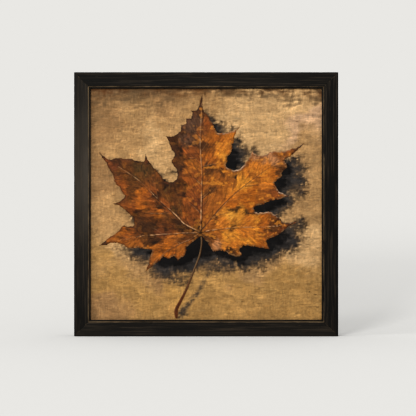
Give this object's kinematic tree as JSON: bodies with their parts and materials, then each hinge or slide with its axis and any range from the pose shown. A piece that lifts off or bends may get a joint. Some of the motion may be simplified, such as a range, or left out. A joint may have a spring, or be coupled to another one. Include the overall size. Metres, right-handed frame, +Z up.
{
  "type": "framed picture",
  "caption": "Square framed picture of an autumn maple leaf painted on stretched canvas, in a narrow black moulding, to stand on a shelf or hang on a wall.",
  "frame": {"origin": "middle of the frame's foot: centred on the width and on the overall depth, at the underside of the bottom rail", "axes": "+Z up the picture; the painted side faces -Y and the wall side, with its hanger and bumpers, faces +Y; +X is to the right as the picture is seen"},
  "size_m": [0.3334, 0.0338, 0.3334],
  "materials": {
    "black_moulding": "satin black paint over wood, rubbed through to tan along the inner step",
    "pine_bars": "bare planed pine",
    "beech_keys": "bare sawn beech",
    "raw_canvas": "unprimed cotton duck on the back",
    "ground_paint": "dry, scuffed ochre and tan oil paint",
    "leaf_paint": "raised oil paint in rust, orange and umber with pale veins",
    "stem_paint": "raised oil paint in umber with an ochre light side",
    "zinc_steel": "zinc plated",
    "brassed_steel": "brass plated steel",
    "brown_felt": "pressed felt"
  },
  "bodies": {
    "root": {"frame_rail_bottom": "black_moulding", "frame_rail_left": "black_moulding", "frame_rail_top": "black_moulding", "frame_rail_right": "black_moulding", "stretcher_bar_bottom": "pine_bars", "stretcher_bar_left": "pine_bars", "stretcher_bar_top": "pine_bars", "stretcher_bar_right": "pine_bars", "v_nail_bottom_left_1": "zinc_steel", "v_nail_bottom_left_2": "zinc_steel", "v_nail_left_top_1": "zinc_steel", "v_nail_left_top_2": "zinc_steel", "v_nail_top_right_1": "zinc_steel", "v_nail_top_right_2": "zinc_steel", "v_nail_right_bottom_1": "zinc_steel", "v_nail_right_bottom_2": "zinc_steel", "corner_key_bottom_left_a": "beech_keys", "corner_key_bottom_left_b": "beech_keys", "corner_key_left_top_a": "beech_keys", "corner_key_left_top_b": "beech_keys", "corner_key_top_right_a": "beech_keys", "corner_key_top_right_b": "beech_keys", "corner_key_right_bottom_a": "beech_keys", "corner_key_right_bottom_b": "beech_keys", "canvas": "raw_canvas", "paint_ground": "ground_paint", "painted_leaf": "leaf_paint", "painted_stem": "stem_paint", "staple_bottom_1": "zinc_steel", "staple_bottom_2": "zinc_steel", "staple_bottom_3": "zinc_steel", "staple_bottom_4": "zinc_steel", "staple_left_1": "zinc_steel", "staple_left_2": "zinc_steel", "staple_left_3": "zinc_steel", "staple_left_4": "zinc_steel", "staple_top_1": "zinc_steel", "staple_top_2": "zinc_steel", "staple_top_3": "zinc_steel", "staple_top_4": "zinc_steel", "staple_right_1": "zinc_steel", "staple_right_2": "zinc_steel", "staple_right_3": "zinc_steel", "staple_right_4": "zinc_steel", "offset_clip_left_1": "zinc_steel", "clip_screw_left_1": "zinc_steel", "offset_clip_left_2": "zinc_steel", "clip_screw_left_2": "zinc_steel", "offset_clip_right_1": "zinc_steel", "clip_screw_right_1": "zinc_steel", "offset_clip_right_2": "zinc_steel", "clip_screw_right_2": "zinc_steel", "sawtooth_hanger": "brassed_steel", "hanger_nail_left": "brassed_steel", "wall_bumper_left": "brown_felt", "hanger_nail_right": "brassed_steel", "wall_bumper_right": "brown_felt"}
  },
  "joints": []
}
